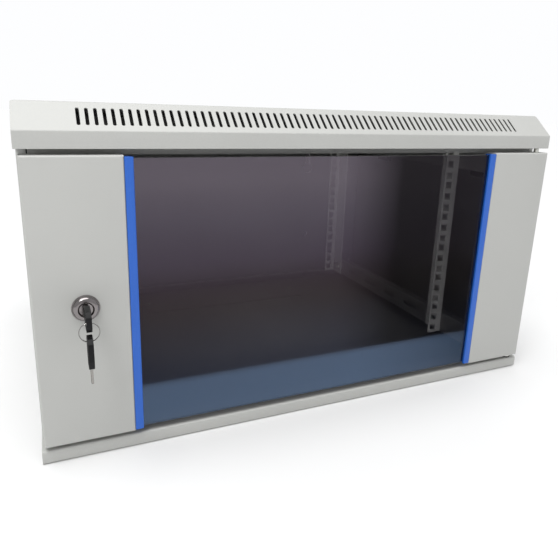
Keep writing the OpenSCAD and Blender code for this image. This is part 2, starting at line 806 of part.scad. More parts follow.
// Sprung pin: a finger pulls its bent handle down to free the top of the door
module hinge_pin_upper() {
    bend_top = handle_z + elbow_r;
    color(zinc) translate([hinge_x, hinge_y, 0]) {
        translate([0, 0, bend_top]) cylinder(r = pin_r, h = pin_top - pin_taper - bend_top);
        translate([0, 0, pin_top - pin_taper]) cylinder(r1 = pin_r, r2 = pin_r - 1, h = pin_taper);
        translate([0, 0, pin_collar_z]) cylinder(r = pin_r + 2.2, h = pin_collar_t);
        translate([-elbow_r, 0, bend_top]) rotate([-90, 0, 0])
            rotate_extrude(angle = 90) translate([elbow_r, 0]) circle(r = pin_r);
        translate([-handle_l, 0, handle_z]) rotate([0, 90, 0]) cylinder(r = pin_r, h = handle_l - elbow_r);
        translate([-handle_l - 1, 0, handle_z]) rotate([0, 90, 0])
            cylinder(r1 = pin_r - 1, r2 = pin_r, h = 1);
    }
}

function spring_at(i, z0, z1) =
    let (a = 360 * i / spring_ring, n = spring_turns * spring_ring)
    [spring_r * cos(a), spring_r * sin(a), z0 + (z1 - z0) * i / n];

module hinge_spring() {
    n = spring_turns * spring_ring;
    z0 = bracket_z + bracket_t + spring_wire;
    z1 = pin_collar_z - spring_wire;
    points = [for (i = [0:n], k = [0:spring_sides - 1])
        let (a = 360 * i / spring_ring, w = 360 * k / spring_sides)
        spring_at(i, z0, z1) + spring_wire * [cos(a) * cos(w), sin(a) * cos(w), sin(w)]];
    sides = [for (i = [0:n - 1], k = [0:spring_sides - 1])
        let (j = (k + 1) % spring_sides, a = i * spring_sides, b = a + spring_sides)
        [a + k, a + j, b + j, b + k]];
    first = [for (k = [spring_sides - 1:-1:0]) k];
    last = [for (k = [0:spring_sides - 1]) n * spring_sides + k];
    color(zinc) translate([hinge_x, hinge_y, 0]) polyhedron(points, concat([first], sides, [last]));
}

// ---- Lock and keys ----

module lock_body() {
    crown = plug_r + 1.4;
    dome = [for (a = [0:10:90]) [crown + (bezel_r - crown) * cos(a), 1 + (bezel_h - 1) * sin(a)]];
    color(chrome) on_lock() rotate_extrude($fn = 64) polygon(concat(
        [[plug_r + plug_fit, -barrel_l], [barrel_r, -barrel_l], [barrel_r, 0], [bezel_r, 0]], dome,
        [[plug_r + 1, bezel_h - 0.8], [plug_r + plug_fit, bezel_h - 0.8]]));
}

module lock_nut() {
    color(zinc) on_lock() translate([0, 0, -sheet - 4]) difference() {
        cylinder(r = 13.5, h = 4, $fn = 6);
        translate([0, 0, -eps]) cylinder(r = barrel_r + 0.1, h = 4 + 2 * eps);
    }
}

module lock_plug() {
    color(chrome) on_lock() difference() {
        union() {
            translate([0, 0, -barrel_l]) cylinder(r = plug_r, h = barrel_l + bezel_h - 1.2);
            translate([0, 0, -plug_back]) cylinder(r = plug_r - 1, h = plug_back);
        }
        translate([-blade_t / 2 - 0.1, -blade_w / 2 - 0.3, -8]) cube([blade_t + 0.2, blade_w + 0.6, 20]);
        translate([0, 0, -plug_back - eps]) cylinder(r = 2, h = 8 + eps);
    }
}

// Cam that turns behind the front flange of the left post; it hangs down when unlocked
module lock_cam() {
    tip = cam_l - 6.5;
    color(zinc) on_lock() translate([0, 0, -plug_back - cam_t]) difference() {
        union() {
            cylinder(r = 9, h = cam_t);
            linear_extrude(cam_t) polygon([[-8.9, 0], [8.9, 0], [6.4, -tip], [-6.4, -tip]]);
            translate([0, -tip, 0]) cylinder(r = 6.5, h = cam_t);
        }
        translate([0, 0, -eps]) cylinder(r = 2.1, h = cam_t + 2 * eps);
    }
}

module cam_screw() {
    color(zinc) on_lock() translate([0, 0, -plug_back - cam_t]) mirror([0, 0, 1]) pan_screw(2, 8);
}

// Key drawn along +x from its shoulder at x = 0: the head runs to +x, the blade to -x
module key_head_outline() {
    w = key_w / 2;
    difference() {
        polygon(rounded([[0, -w + 3], [9, -w], [key_head_l - 4.5, -w], [key_head_l, -w + 4.5],
                         [key_head_l, w - 4.5], [key_head_l - 4.5, w], [9, w], [0, w - 3]],
                        [1.5, 3, 3, 2.5, 2.5, 3, 3, 1.5]));
        translate([key_head_l - key_hole_in, 0]) circle(r = key_hole_r);
    }
}

module key_blade_outline() {
    w = blade_w / 2;
    teeth = [for (i = [0:3]) let (x = -key_blade_l + 2 + i * 3)
             each [[x, -w], [x + 1.5, -w + 1 + i % 2]]];
    polygon(concat([[0, w], [-key_blade_l + 2, w], [-key_blade_l, w - 2], [-key_blade_l, -w + 2]],
                   teeth, [[0, -w]]));
}

// Key in the lock: its head stands straight out, with its flat faces upright
module in_lock(t) {
    translate([lock_x - t / 2, door_y - key_out, lock_z]) rotate([90, 0, 90]) linear_extrude(t)
        mirror([1, 0]) children();
}

// Spare key hanging from the ring with its blade down
module on_ring(t) {
    translate([lock_x - t / 2, ring_y, spare_hole_z - key_head_l + key_hole_in])
        rotate([90, 0, 90]) linear_extrude(t) rotate(90) children();
}

module key_head() { color(black) in_lock(key_t) key_head_outline(); }
module key_blade() { color(zinc) in_lock(blade_t) key_blade_outline(); }
module spare_key_head() { color(black) on_ring(key_t) key_head_outline(); }
module spare_key_blade() { color(zinc) on_ring(blade_t) key_blade_outline(); }

module key_ring() {
    color(zinc) translate([lock_x, ring_y, ring_z]) rotate([90, 0, 0])
        rotate_extrude() translate([ring_r, 0]) circle(r = ring_wire, $fn = 24);
}

base_tray();
top_cover();
back_panel();
side_panel_left();
side_panel_right();
front_post_left();
front_post_right();
rear_post_left();
rear_post_right();
top_crossbar();
arm_lower_left();
arm_lower_right();
arm_upper_left();
arm_upper_right();
rail_front_left();
rail_front_right();
rail_rear_left();
rail_rear_right();
rail_bolts();
rail_nuts();
arm_screws();
cover_screws();
cable_plate_top();
cable_plate_base();
cable_plate_screws();
hinge_bush_upper();
hinge_bush_lower();
door_bumpers();
earth_stud();
latch_frames();
latch_left_front();
latch_left_rear();
latch_right_front();
latch_right_rear();
door_panel_left();
door_panel_right();
door_glass();
strip_left();
strip_right();
strip_screws();
hinge_bracket_upper();
hinge_bracket_lower();
hinge_pin_lower();
hinge_pin_upper();
hinge_spring();
lock_body();
lock_nut();
lock_plug();
lock_cam();
cam_screw();
key_head();
key_blade();
key_ring();
spare_key_head();
spare_key_blade();
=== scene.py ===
"""Looks of a wall-hung network cabinet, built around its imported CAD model. Metres."""

import json
import math
import bmesh
import bpy
from mathutils import Matrix, Vector

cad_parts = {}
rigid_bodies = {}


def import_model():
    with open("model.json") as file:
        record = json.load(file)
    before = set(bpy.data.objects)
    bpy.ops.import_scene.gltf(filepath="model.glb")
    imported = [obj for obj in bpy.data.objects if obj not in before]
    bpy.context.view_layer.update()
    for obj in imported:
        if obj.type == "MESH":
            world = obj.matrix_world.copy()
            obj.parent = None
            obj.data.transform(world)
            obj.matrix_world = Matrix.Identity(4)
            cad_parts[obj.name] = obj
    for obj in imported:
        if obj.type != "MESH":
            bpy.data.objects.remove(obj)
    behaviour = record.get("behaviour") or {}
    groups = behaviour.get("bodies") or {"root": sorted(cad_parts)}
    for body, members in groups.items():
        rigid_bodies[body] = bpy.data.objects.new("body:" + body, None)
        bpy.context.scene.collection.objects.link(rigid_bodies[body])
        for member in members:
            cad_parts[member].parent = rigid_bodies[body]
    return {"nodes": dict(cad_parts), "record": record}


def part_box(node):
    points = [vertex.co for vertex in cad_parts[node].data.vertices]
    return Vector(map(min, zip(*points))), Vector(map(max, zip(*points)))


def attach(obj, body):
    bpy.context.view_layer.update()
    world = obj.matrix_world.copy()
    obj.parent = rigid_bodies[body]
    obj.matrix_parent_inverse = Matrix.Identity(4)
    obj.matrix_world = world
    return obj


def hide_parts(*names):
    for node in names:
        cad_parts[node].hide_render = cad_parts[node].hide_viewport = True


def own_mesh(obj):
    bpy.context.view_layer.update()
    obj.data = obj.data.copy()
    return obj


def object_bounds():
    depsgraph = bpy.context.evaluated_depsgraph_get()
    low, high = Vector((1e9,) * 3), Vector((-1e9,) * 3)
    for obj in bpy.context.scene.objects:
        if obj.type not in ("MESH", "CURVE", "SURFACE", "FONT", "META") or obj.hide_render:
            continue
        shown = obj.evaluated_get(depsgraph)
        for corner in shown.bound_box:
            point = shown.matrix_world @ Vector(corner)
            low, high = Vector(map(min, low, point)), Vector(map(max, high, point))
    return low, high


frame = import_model()
cad_low, cad_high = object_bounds()

MM = 0.001
SLOT_OF = {p["node"]: p["material_slot"] for p in frame["record"]["subparts"]}
BODY_OF = {n: b for b, nodes in frame["record"]["behaviour"]["bodies"].items() for n in nodes}


# ---- Materials ----

class Shader:
    """A Principled material, with the procedural nodes that feed it."""

    def __init__(self, name, **constants):
        self.material = bpy.data.materials.new(name)
        self.material.use_nodes = True
        self.tree = self.material.node_tree
        self.main = self.tree.nodes["Principled BSDF"]
        self.out = self.tree.nodes["Material Output"]
        self.place = self.add("TexCoord").outputs["Object"]
        for socket, value in constants.items():
            self.set(socket.replace("_", " "), value)

    def add(self, kind, inputs=None, **settings):
        node = self.tree.nodes.new("ShaderNode" + kind)
        for key, value in settings.items():
            setattr(node, key, value)
        for key, value in (inputs or {}).items():
            if isinstance(value, bpy.types.NodeSocket):
                self.tree.links.new(value, node.inputs[key])
            else:
                node.inputs[key].default_value = value
        return node

    def set(self, socket, value):
        if isinstance(value, bpy.types.NodeSocket):
            self.tree.links.new(value, self.main.inputs[socket])
        else:
            self.main.inputs[socket].default_value = value

    def noise(self, scale, detail=2.0, stretch=(1, 1, 1)):
        """Noise from 0 to 1 with scale grains to a metre, finer along an axis with a larger stretch."""
        where = self.add("Mapping", {"Vector": self.place, "Scale": stretch}).outputs[0]
        return self.add("TexNoise", {"Vector": where, "Scale": scale, "Detail": detail}).outputs["Fac"]

    def remap(self, value, low, high, to_low=0.0, to_high=1.0):
        return self.add("MapRange", {"Value": value, "From Min": low, "From Max": high,
                                     "To Min": to_low, "To Max": to_high}).outputs[0]

    def math(self, operation, a, b):
        return self.add("Math", {0: a, 1: b}, operation=operation).outputs[0]

    def mix(self, share, a, b):
        node = self.add("Mix", {0: share, 6: a, 7: b}, data_type="RGBA")
        return node.outputs[2]

    def bump(self, *layers):
        """Surface relief: each layer is (height from 0 to 1, depth in metres, strength)."""
        normal = None
        for height, depth, strength in layers:
            inputs = {"Height": height, "Distance": depth, "Strength": strength}
            if normal is not None:
                inputs["Normal"] = normal
            normal = self.add("Bump", inputs).outputs[0]
        self.set("Normal", normal)

    def edges(self, radius):
        """1 on sharp outer edges within radius, 0 elsewhere."""
        soft = self.add("Bevel", {"Radius": radius}, samples=4).outputs[0]
        true = self.add("NewGeometry").outputs["Normal"]
        agree = self.add("VectorMath", {0: soft, 1: true}, operation="DOT_PRODUCT").outputs["Value"]
        return self.remap(agree, 0.99, 0.86)


def grey_paint():
    """Light grey powder coat: fine orange peel, faint speckle, lighter on the folds from a thinner coat
    and a painted highlight.
    """
    s = Shader("grey_powder_coat", Specular_IOR_Level=0.42)
    cloud = s.remap(s.noise(7, 3), 0.3, 0.7)
    speck = s.remap(s.noise(2300, 1), 0.35, 0.65)
    base = s.mix(cloud, (0.440, 0.443, 0.424, 1), (0.466, 0.468, 0.449, 1))
    base = s.mix(s.math("MULTIPLY", speck, 0.35), base, (0.375, 0.379, 0.366, 1))
    # The folds are lighter: partly a thinner coat, partly a painted highlight along the rounded bends.
    base = s.mix(s.math("MULTIPLY", s.edges(0.6 * MM), 0.35), base, (0.62, 0.62, 0.60, 1))
    s.set("Base Color", base)
    s.set("Roughness", s.remap(s.math("ADD", speck, cloud), 0, 2, 0.36, 0.50))
    peel = s.noise(650, 2)
    s.bump((peel, 0.05 * MM, 0.5), (speck, 0.02 * MM, 0.35))
    return s.material


def blue_plastic():
    """Satin blue extrusion, with fine die lines along its length and faint scuffs."""
    s = Shader("blue_extrusion", Specular_IOR_Level=0.5)
    lines = s.noise(1, 2, (2600, 2600, 6))
    scuff = s.remap(s.noise(160, 5), 0.60, 0.78)
    base = s.mix(s.remap(lines, 0.3, 0.7), (0.0112, 0.098, 0.465, 1), (0.015, 0.115, 0.52, 1))
    base = s.mix(s.math("MULTIPLY", scuff, 0.12), base, (0.07, 0.21, 0.60, 1))
    base = s.mix(s.math("MULTIPLY", s.edges(0.4 * MM), 0.3), base, (0.08, 0.24, 0.70, 1))
    s.set("Base Color", base)
    s.set("Roughness", s.remap(s.math("ADD", lines, scuff), 0.2, 1.6, 0.33, 0.50))
    s.bump((lines, 0.03 * MM, 0.4))
    return s.material


def smoked_glass():
    """Grey-tinted pane: polished and dark to look through, with a trace of dust on its faces."""
    s = Shader("smoked_glass", Roughness=0.0, IOR=1.8, Transmission_Weight=1.0, Specular_IOR_Level=0.5)
    dust = s.remap(s.noise(900, 6), 0.52, 0.86)
    film = s.remap(s.noise(9, 4), 0.35, 0.75)
    tint = s.mix(s.math("MULTIPLY", film, 0.25), (0.430, 0.420, 0.442, 1), (0.460, 0.452, 0.470, 1))
    s.set("Base Color", s.mix(s.math("MULTIPLY", dust, 0.10), tint, (0.26, 0.26, 0.27, 1)))
    # Lamps and bounced light pass at a darker tint than the eye looks through: painted shade inside the
    # cabinet.
    pane = s.add("BsdfTransparent", {"Color": (0.26, 0.255, 0.27, 1)})
    path = s.add("LightPath")
    through = s.math("MAXIMUM", path.outputs["Is Shadow Ray"], path.outputs["Is Diffuse Ray"])
    both = s.add("MixShader", {0: through, 1: s.main.outputs[0], 2: pane.outputs[0]})
    s.tree.links.new(both.outputs[0], s.out.inputs["Surface"])
    return s.material


def metal(name, colour, tint, rough, grain=(1, 1, 1), grain_scale=900, depth=0.01 * MM):
    """Plated or bare metal: drifting tint, uneven gloss and a fine grain."""
    s = Shader(name, Metallic=1.0)
    drift = s.remap(s.noise(70, 4), 0.3, 0.7)
    lines = s.noise(grain_scale, 2, grain)
    worn = s.edges(0.3 * MM)
    base = s.mix(drift, colour, tint)
    bright = tuple(min(1, c * 1.25) for c in colour[:3]) + (1,)
    s.set("Base Color", s.mix(s.math("MULTIPLY", worn, 0.5), base, bright))
    s.set("Roughness", s.remap(s.math("ADD", drift, lines), 0.2, 1.7, rough[0], rough[1]))
    s.bump((lines, depth, 0.35))
    return s.material


def moulded(name, colour, rough, grain_scale, depth, shine=0.5):
    """Moulded plastic or rubber with a fine grain, paler on worn edges."""
    s = Shader(name, Specular_IOR_Level=shine)
    grain = s.noise(grain_scale, 3)
    smear = s.remap(s.noise(60, 4), 0.35, 0.75)
    pale = tuple(0.9 * c + 0.035 for c in colour[:3]) + (1,)
    base = s.mix(s.math("MULTIPLY", smear, 0.25), colour, pale)
    s.set("Base Color", s.mix(s.math("MULTIPLY", s.edges(0.3 * MM), 0.5), base, pale))
    s.set("Roughness", s.remap(s.math("ADD", grain, smear), 0.3, 1.6, rough[0], rough[1]))
    s.bump((grain, depth, 0.5))
    return s.material


def pale_floor():
    """Plain matt studio floor."""
    s = Shader("studio_floor", Specular_IOR_Level=0.1, Roughness=0.9)
    s.set("Base Color", s.mix(s.noise(3, 2), (0.70, 0.70, 0.70, 1), (0.72, 0.72, 0.72, 1)))
    return s.material


FINISH = {
    "grey_paint": grey_paint(),
    "blue_plastic": blue_plastic(),
    "smoked_glass": smoked_glass(),
    "zinc_steel": metal("bright_zinc", (0.66, 0.68, 0.71, 1), (0.74, 0.72, 0.60, 1), (0.26, 0.42)),
    "nickel_steel": metal("brushed_nickel", (0.34, 0.33, 0.31, 1), (0.27, 0.26, 0.25, 1), (0.18, 0.34),
                          (1, 1, 12)),
    "chrome": metal("smoky_chrome", (0.27, 0.25, 0.25, 1), (0.19, 0.175, 0.175, 1), (0.08, 0.18),
                    depth=0.003 * MM),
    "black_plastic": moulded("black_plastic", (0.006, 0.006, 0.0065, 1), (0.34, 0.52), 2400, 0.02 * MM,
                             shine=0.16),
    "black_rubber": moulded("black_rubber", (0.018, 0.018, 0.018, 1), (0.68, 0.90), 1500, 0.04 * MM,
                            shine=0.3),
    "brass": metal("turned_brass", (0.80, 0.58, 0.26, 1), (0.68, 0.47, 0.22, 1), (0.22, 0.40), (1, 1, 6)),
}


# ---- Mesh tools ----

FACING_FRONT = Matrix.Rotation(math.pi / 2, 4, "X")


def piece_from(bm, name, node, body=None, hard=32):
    """Turns bm into a piece that stands for a CAD node, sharp where faces meet at over hard degrees."""
    bmesh.ops.recalc_face_normals(bm, faces=bm.faces)
    if bm.calc_volume(signed=True) < 0:
        bmesh.ops.reverse_faces(bm, faces=bm.faces)
    for face in bm.faces:
        face.smooth = True
    for edge in bm.edges:
        edge.smooth = len(edge.link_faces) == 2 and edge.calc_face_angle(0) < math.radians(hard)
    mesh = bpy.data.meshes.new(name)
    bm.to_mesh(mesh)
    bm.free()
    if "custom_normal" in mesh.attributes:
        mesh.attributes.remove(mesh.attributes["custom_normal"])
    piece = bpy.data.objects.new(name, mesh)
    bpy.context.scene.collection.objects.link(piece)
    mesh.materials.clear()
    mesh.materials.append(FINISH[SLOT_OF[node]])
    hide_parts(node)
    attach(piece, body or BODY_OF[node])
    return piece


def soften(piece, width, segments=2, tight=False):
    """Breaks the sharp edges, as paint or a mould does; tight keeps short edges from crossing."""
    bevel = piece.modifiers.new("edges", "BEVEL")
    bevel.limit_method = "ANGLE"
    bevel.angle_limit = math.radians(35)
    bevel.width = width
    bevel.segments = segments
    bevel.use_clamp_overlap = tight
    bevel.loop_slide = False
    bevel.harden_normals = True
    return piece


def cleaned(node):
    """A CAD node's mesh with its vertices joined and its flat faces whole."""
    bm = bmesh.new()
    bm.from_mesh(frame["nodes"][node].data)
    bmesh.ops.remove_doubles(bm, verts=bm.verts, dist=0.002 * MM)
    bmesh.ops.dissolve_limit(bm, angle_limit=math.radians(0.6), verts=bm.verts, edges=bm.edges)
    return bm


def circle(x, r, steps=32):
    return [(x + r * math.cos(2 * math.pi * k / steps), r * math.sin(2 * math.pi * k / steps))
            for k in range(steps)]


def lathe(bm, profile, steps=64):
    """Adds a solid turned about z from (radius, z) points, round a closed section or from axis to axis."""
    closed = min(r for r, _ in profile) > 0
    rings = []
    for r, z in profile:
        if r == 0:
            rings.append([bm.verts.new((0, 0, z))] * steps)
        else:
            rings.append([bm.verts.new((x, y, z)) for x, y in circle(0, r, steps)])
    pairs = zip(rings, rings[1:] + rings[:1]) if closed else zip(rings, rings[1:])
    for a, b in pairs:
        for i in range(steps):
            j = (i + 1) % steps
            corners = list(dict.fromkeys([a[i], a[j], b[j], b[i]]))
            if len(corners) > 2:
                bm.faces.new(corners)


def thread(radius, depth, pitch, z0, z1):
    """Profile of a threaded stretch from z0 to z1."""
    count = max(1, round(abs(z1 - z0) / pitch))
    step = (z1 - z0) / count
    points = []
    for i in range(count):
        points += [(radius - depth, z0 + i * step), (radius, z0 + (i + 0.5) * step)]
    return points + [(radius - depth, z1)]


def tube(bm, points, radius, sides=10):
    """Adds a wire of the given radius along points, with flat ends."""
    rings, side = [], None
    for i, p in enumerate(points):
        ahead = (points[min(i + 1, len(points) - 1)] - points[max(i - 1, 0)]).normalized()
        if side is None:
            side = ahead.orthogonal().normalized()
        side = (side - ahead * side.dot(ahead)).normalized()
        other = ahead.cross(side)
        rings.append([bm.verts.new(p + radius * (math.cos(a) * side + math.sin(a) * other))
                      for a in (2 * math.pi * k / sides for k in range(sides))])
    for a, b in zip(rings, rings[1:]):
        for k in range(sides):
            bm.faces.new((a[k], a[(k + 1) % sides], b[(k + 1) % sides], b[k]))
    bm.faces.new(rings[0][::-1])
    bm.faces.new(rings[-1])


def prism(bm, loops, z0, z1):
    """Adds a flat plate between z0 and z1 from an outer outline and the outlines of its holes."""
    edges = []
    for loop in loops:
        corners = [bm.verts.new((x, y, z0)) for x, y in loop]
        edges += [bm.edges.new((a, b)) for a, b in zip(corners, corners[1:] + corners[:1])]
    filled = bmesh.ops.triangle_fill(bm, edges=edges, use_beauty=True)["geom"]
    faces = [g for g in filled if isinstance(g, bmesh.types.BMFace)]
    made = bmesh.ops.extrude_face_region(bm, geom=faces)["geom"]
    top = [g for g in made if isinstance(g, bmesh.types.BMVert)]
    bmesh.ops.translate(bm, verts=top, vec=(0, 0, z1 - z0))


def join(bm, other):
    """Adds other's solids to bm."""
    mesh = bpy.data.meshes.new("join")
    other.to_mesh(mesh)
    other.free()
    bm.from_mesh(mesh)
    bpy.data.meshes.remove(mesh)


def cut(bm, cutter):
    """bm with cutter taken out of it; both are used up."""
    parts = []
    for source in (bm, cutter):
        bmesh.ops.recalc_face_normals(source, faces=source.faces)
        mesh = bpy.data.meshes.new("cut")
        source.to_mesh(mesh)
        source.free()
        part = bpy.data.objects.new("cut", mesh)
        bpy.context.scene.collection.objects.link(part)
        parts.append(part)
    boolean = parts[0].modifiers.new("cut", "BOOLEAN")
    boolean.operation = "DIFFERENCE"
    boolean.solver = "EXACT"
    boolean.object = parts[1]
    bpy.context.view_layer.update()
    result = bmesh.new()
    result.from_object(parts[0], bpy.context.evaluated_depsgraph_get())
    for part in parts:
        mesh = part.data
        bpy.data.objects.remove(part)
        bpy.data.meshes.remove(mesh)
    return result


def loose_boxes(bm):
    """Lowest and highest corner of each separate solid in bm."""
    left, boxes = set(bm.verts), []
    while left:
        found, stack = [], [left.pop()]
        while stack:
            v = stack.pop()
            found.append(v.co.copy())
            for e in v.link_edges:
                w = e.other_vert(v)
                if w in left:
                    left.remove(w)
                    stack.append(w)
        boxes.append((Vector([min(c[i] for c in found) for i in range(3)]),
                      Vector([max(c[i] for c in found) for i in range(3)])))
    return boxes


def middle(node):
    low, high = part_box(node)
    return (low + high) / 2, (high - low) / 2


# ---- Sheet metal, rails and fittings: CAD shapes with their edges broken ----

# How far each finish rounds its edges, the nodes that have a function of their own below, and the
# folded sheets, which have edges so short that a free bevel would cross itself.
EDGE = {"grey_paint": 0.28 * MM, "blue_plastic": 0.3 * MM, "zinc_steel": 0.25 * MM,
        "black_plastic": 0.3 * MM, "chrome": 0.2 * MM}
BUILT = {"door_glass", "door_bumpers", "earth_stud", "hinge_spring", "lock_body", "key_head", "key_blade",
         "key_ring", "spare_key_head", "spare_key_blade", "cover_screws", "strip_screws",
         "cable_plate_screws", "cam_screw"}
FOLDED = ("arm_", "front_post_", "rear_post_", "base_tray", "side_panel_")

for name in sorted(frame["nodes"]):
    if name not in BUILT:
        soften(piece_from(cleaned(name), name + "_finished", name), EDGE[SLOT_OF[name]],
               tight=name.startswith(FOLDED))


# ---- Screws with a cross recess ----

def cross_screws(node, outward, head_r, depth):
    """The CAD screws with a cross cut in each head; outward gives the way a head faces from its middle."""
    bm, cutter = cleaned(node), bmesh.new()
    for low, high in loose_boxes(bm):
        centre = (low + high) / 2
        axis = outward(centre)
        top = centre + Vector([axis[i] * (high[i] - low[i]) / 2 for i in range(3)])
        arm, width = 0.58 * head_r, 0.12 * head_r
        corners = [(arm, -width), (arm, width), (width, width)]
        plus = [((x, y), (-y, x), (-x, -y), (y, -x))[k] for k in range(4) for x, y in corners]
        cross = bmesh.new()
        prism(cross, [plus], -depth, depth)
        cross.transform(Matrix.Translation(top) @ axis.to_track_quat("Z", "X").to_matrix().to_4x4()
                        @ Matrix.Rotation(math.pi / 4, 4, "Z"))
        join(cutter, cross)
    return soften(piece_from(cut(bm, cutter), node + "_finished", node), 0.12 * MM)


cross_screws("cover_screws", lambda c: Vector((0, 0, 1)), 3.2 * MM, 0.9 * MM)
cross_screws("strip_screws", lambda c: Vector((math.copysign(1, c.x), 0, 0)), 2.5 * MM, 0.6 * MM)
cross_screws("cable_plate_screws", lambda c: Vector((0, 0, 1 if c.z < 0.1 else -1)), 3 * MM, 0.7 * MM)
cross_screws("cam_screw", lambda c: Vector((0, 1, 0)), 4 * MM, 0.9 * MM)


# ---- Glass, bumpers, earth stud and hinge spring ----

def glass():
    centre, half = middle("door_glass")
    bm = bmesh.new()
    bmesh.ops.create_cube(bm, size=2, matrix=Matrix.Translation(centre) @ Matrix.Diagonal((*half, 1)))
    bmesh.ops.bevel(bm, geom=bm.edges[:], offset=0.5 * MM, segments=2, affect="EDGES", profile=0.5)
    return piece_from(bm, "glass_pane", "door_glass", hard=20)


def bumpers():
    bm = bmesh.new()
    low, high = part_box("door_bumpers")
    r, d = (high.x - low.x) / 2, high.y - low.y
    profile = [(0, 0), (r, 0), (r, 0.35 * d), (0.93 * r, 0.42 * d), (0.88 * r, 0.72 * d),
               (0.78 * r, 0.88 * d), (0.55 * r, 0.97 * d), (0.2 * r, d), (0, d)]
    for z in (low.z + r, high.z - r):
        one = bmesh.new()
        lathe(one, profile, 40)
        one.transform(Matrix.Translation(((low.x + high.x) / 2, high.y, z)) @ FACING_FRONT)
        join(bm, one)
    return piece_from(bm, "bumper_pads", "door_bumpers")


def earth_stud():
    """Threaded stud with a chamfered hexagonal collar on the floor of the cabinet."""
    low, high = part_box("earth_stud")
    sheet, collar, r, chamfer = 1.2 * MM, 5 * MM, 3 * MM, 0.6 * MM
    width, top, inside = (high.x - low.x) / 2, high.z, r - 0.6 * MM
    turns = thread(r, 0.35 * MM, 1 * MM, sheet + collar - 0.5 * MM, top - 0.8 * MM)
    bm = bmesh.new()
    lathe(bm, [(0, 0), (r, 0), (r, sheet + 0.5 * MM)] + turns + [(r - 0.9 * MM, top), (0, top)], 40)
    hexagon = bmesh.new()
    z0, z1 = sheet, sheet + collar
    lathe(hexagon, [(inside, z0), (width, z0), (width, z1 - chamfer), (0.9 * width, z1), (inside, z1)], 6)
    join(bm, hexagon)
    bm.transform(Matrix.Translation(((low.x + high.x) / 2, (low.y + high.y) / 2, 0)))
    return piece_from(bm, "earth_stud_turned", "earth_stud")


def hinge_spring():
    low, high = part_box("hinge_spring")
    wire, turns, steps = 0.5 * MM, 6, 30
    centre, radius = (low + high) / 2, (high.x - low.x) / 2 - wire
    points = []
    for i in range(turns * steps + 1):
        share = i / (turns * steps)
        eased = share - 0.06 * math.sin(2 * math.pi * share)
        angle = 2 * math.pi * i / steps
        points.append(Vector((centre.x + radius * math.cos(angle), centre.y + radius * math.sin(angle),
                              low.z + wire + (high.z - low.z - 2 * wire) * eased)))
    bm = bmesh.new()
    tube(bm, points, wire, 8)
    piece = piece_from(bm, "coil_spring", "hinge_spring")
    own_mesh(piece)
    return piece


glass()
bumpers()
earth_stud()
hinge_spring()


# ---- Lock and keys ----

def lock_body():
    """Turned bezel with a stepped rim and a crowned face, on a threaded barrel."""
    low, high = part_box("lock_body")
    centre = (low + high) / 2
    bezel_r, length = (high.x - low.x) / 2, high.y - low.y
    bezel_h, barrel_r, bore = 6 * MM, 9.5 * MM, 6.05 * MM
    back = bezel_h - length
    crown = []
    for k in range(9):
        a = math.radians(10 * k + 5)
        crown.append((7.4 * MM + (bezel_r - 8.1 * MM) * math.cos(a),
                      1.4 * MM + (bezel_h - 1.5 * MM) * math.sin(a)))
    profile = ([(bore, back), (barrel_r - 0.7 * MM, back)]
               + thread(barrel_r, 0.45 * MM, 1 * MM, back + 0.7 * MM, -6 * MM)
               + [(barrel_r, -5.4 * MM), (barrel_r, 0), (bezel_r - 0.2 * MM, 0), (bezel_r, 0.25 * MM),
                  (bezel_r, 1.0 * MM), (bezel_r - 0.15 * MM, 1.25 * MM), (bezel_r - 0.5 * MM, 1.35 * MM)]
               + crown
               + [(7.2 * MM, bezel_h), (6.7 * MM, bezel_h - 0.15 * MM), (6.35 * MM, bezel_h - 0.7 * MM),
                  (bore, bezel_h - 1.1 * MM)])
    bm = bmesh.new()
    lathe(bm, profile, 96)
    bm.transform(Matrix.Translation((centre.x, low.y + bezel_h, centre.z)) @ FACING_FRONT)
    return piece_from(bm, "lock_bezel", "lock_body", hard=28)


def rounded(points, radii, steps=6):
    """Outline with each corner rounded to its radius."""
    out = []
    for i, (p, r) in enumerate(zip(points, radii)):
        p = Vector(p)
        a = (Vector(points[i - 1]) - p).normalized()
        b = (Vector(points[(i + 1) % len(points)]) - p).normalized()
        half = a.angle(b) / 2
        centre = p + (a + b).normalized() * r / math.sin(half)
        start = (p + a * r / math.tan(half) - centre).normalized()
        end = (p + b * r / math.tan(half) - centre).normalized()
        out += [tuple(centre + r * start.slerp(end, k / steps)) for k in range(steps + 1)]
    return out


def key_outline(length, width, shrink=0.0):
    """Outline of a key's head along +x from the shoulder at x = 0."""
    w = width / 2
    end = 4.5 * MM
    points = [(0, -w + 3 * MM), (9 * MM, -w), (length - end, -w), (length, -w + end),
              (length, w - end), (length - end, w), (9 * MM, w), (0, w - 3 * MM)]
    radii = [r * MM for r in (1.5, 3, 3, 2.5, 2.5, 3, 3, 1.5)]
    if not shrink:
        return rounded(points, radii)
    centre = Vector((length / 2, 0))
    sx, sy = 1 - 2 * shrink / length, 1 - 2 * shrink / width
    inner = [(centre.x + (x - centre.x) * sx, y * sy) for x, y in points]
    return rounded(inner, [0.8 * r for r in radii])


def key_head(node, placement, length, width, thick):
    """Moulded head: raised rim and a boss round the hole, with grip bars in the sunk middle."""
    hole = length - 6 * MM
    bm = bmesh.new()
    prism(bm, [key_outline(length, width), circle(hole, 2.5 * MM)], -thick / 2, thick / 2)
    cutter = bmesh.new()
    for side in (-1, 1):
        prism(cutter, [key_outline(length, width, 1.5 * MM), circle(hole, 4.1 * MM)],
              side * (thick / 2 - 0.7 * MM), side * (thick / 2 + 1 * MM))
    bm = cut(bm, cutter)
    for side in (-1, 1):
        for k in range(4):
            x0, y = (5.5 + 2.6 * k) * MM, 5 * MM
            x1 = x0 + 1.1 * MM
            outline = rounded([(x0, -y), (x1, -y), (x1, y), (x0, y)], [0.5 * MM] * 4, 4)
            bar = bmesh.new()
            prism(bar, [outline], side * (thick / 2 - 1.0 * MM), side * (thick / 2 - 0.2 * MM))
            join(bm, bar)
    bm.transform(placement)
    return soften(piece_from(bm, node + "_moulding", node), 0.35 * MM, 3)


